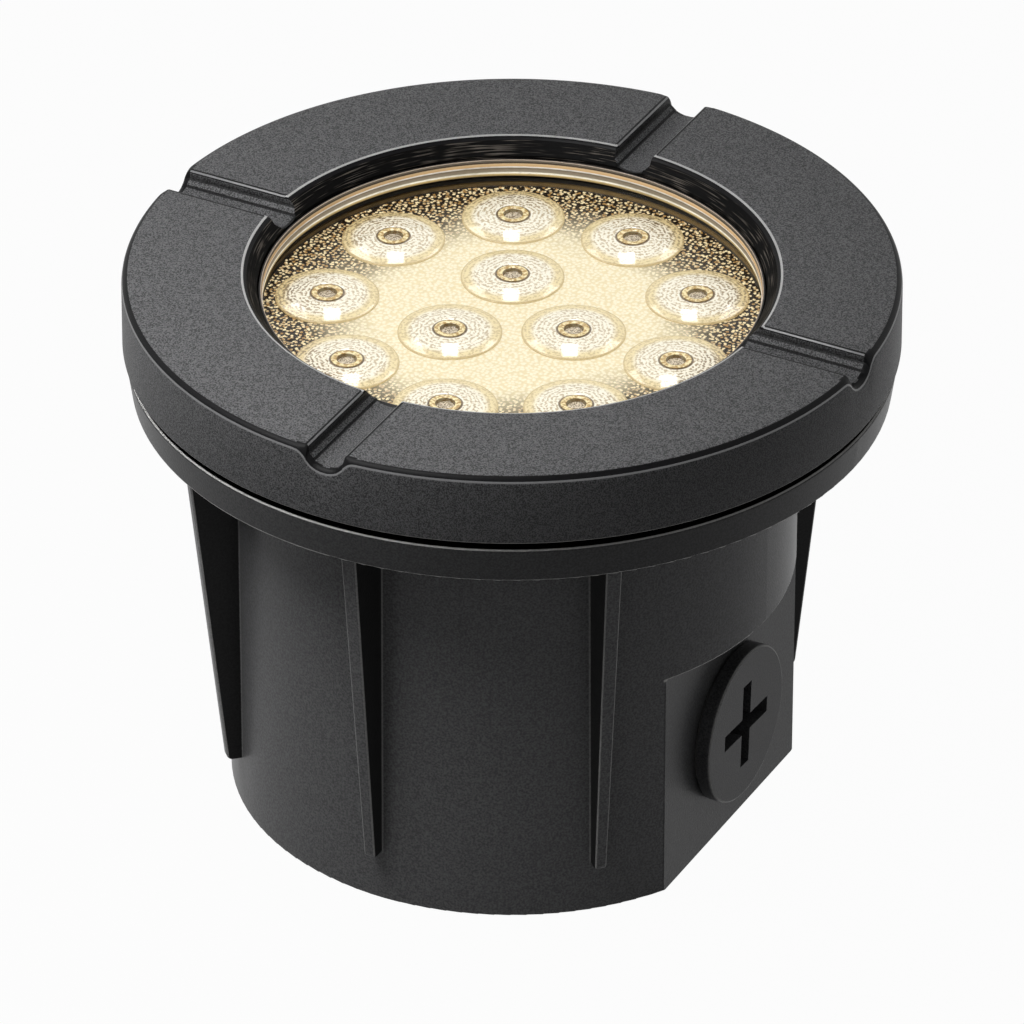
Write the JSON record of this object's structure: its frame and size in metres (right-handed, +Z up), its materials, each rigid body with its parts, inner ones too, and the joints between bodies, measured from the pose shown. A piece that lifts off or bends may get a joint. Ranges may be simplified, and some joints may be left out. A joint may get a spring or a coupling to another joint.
{
  "type": "in ground well light",
  "caption": "Round in ground well light: flanged composite can with ribs, screw-on grooved cover ring, sealed LED module under a stepped glass lens, and a plugged conduit entry.",
  "frame": {"origin": "centre of the flat base", "axes": "+Z up along the can's axis to the cover ring; +X out of the plugged conduit entry, -X out of the open one"},
  "size_m": [0.1652, 0.1652, 0.1234],
  "materials": {
    "black_composite": "fine leathery moulded texture, satin",
    "lens_glass": "clear, ground edge",
    "silicone": "soft tan silicone",
    "black_rubber": "matte",
    "slip_plastic": "smooth, low friction",
    "cast_aluminium": "black powder coat on a casting",
    "stainless": "plain",
    "optic_diffuser": "coarse pebbled, lit warm",
    "optic_clear": "fine micro rippled domes, lit warm",
    "led_package": "phosphor under a dome",
    "board_white": "white solder mask",
    "thermal_pad": "grey gap pad",
    "lead_insulation": "soft insulation",
    "case_plastic": "moulded",
    "cover_sheet": "plain sheet",
    "board_green": "solder mask",
    "component_dark": "epoxy and ferrite",
    "gland_nylon": "moulded nylon",
    "lead_jacket": "round jacket",
    "block_plastic": "moulded",
    "clamp_brass": "plated"
  },
  "bodies": {
    "light": {"housing": "black_composite", "lens": "lens_glass", "lens_gasket": "silicone", "lens_seat_gasket": "black_rubber", "module_body": "cast_aluminium", "module_gasket": "black_rubber", "module_screws": "stainless", "optic_plate": "optic_diffuser", "led_optics": "optic_clear", "led_emitters": "led_package", "led_board": "board_white", "thermal_pad": "thermal_pad", "board_screws": "stainless", "board_leads": "lead_insulation", "lead_sleeve": "black_rubber", "case_cover": "cover_sheet", "case_gasket": "black_rubber", "driver_case": "case_plastic", "case_screws": "stainless", "driver_board": "board_green", "driver_board_screws": "stainless", "driver_components": "component_dark", "gland_body": "gland_nylon", "gland_locknut": "gland_nylon", "gland_nut": "gland_nylon", "gland_seal": "black_rubber", "module_lead": "lead_jacket", "terminal_block": "block_plastic", "terminal_clamps": "clamp_brass", "block_screws": "stainless"},
    "slip_ring": {"cover_slip_ring": "slip_plastic"},
    "cover": {"cover_ring": "black_composite"},
    "plug_seal": {"plug_washer": "black_rubber"},
    "plug": {"conduit_plug": "black_composite"}
  },
  "joints": [
    {"name": "cover_lift", "type": "slide", "parent": "light", "child": "slip_ring", "axis": [0, 0, 1], "range_m": [0, 0.0082]},
    {"name": "cover_turn", "type": "hinge", "parent": "slip_ring", "child": "cover", "pos_m": [0, 0, 0.1173], "axis": [0, 0, 1], "range_deg": [0, 735]},
    {"name": "plug_out", "type": "slide", "parent": "light", "child": "plug_seal", "axis": [1, 0, 0], "range_m": [0, 0.0123]},
    {"name": "plug_turn", "type": "hinge", "parent": "plug_seal", "child": "plug", "pos_m": [0.053, 0, 0.026], "axis": [1, 0, 0], "range_deg": [0, 2430]}
  ],
  "couplings": [
    {"joint": "cover_lift", "follows": "cover_turn", "m_per_rad": 0.00063662},
    {"joint": "plug_out", "follows": "plug_turn", "m_per_rad": 0.00028871}
  ]
}
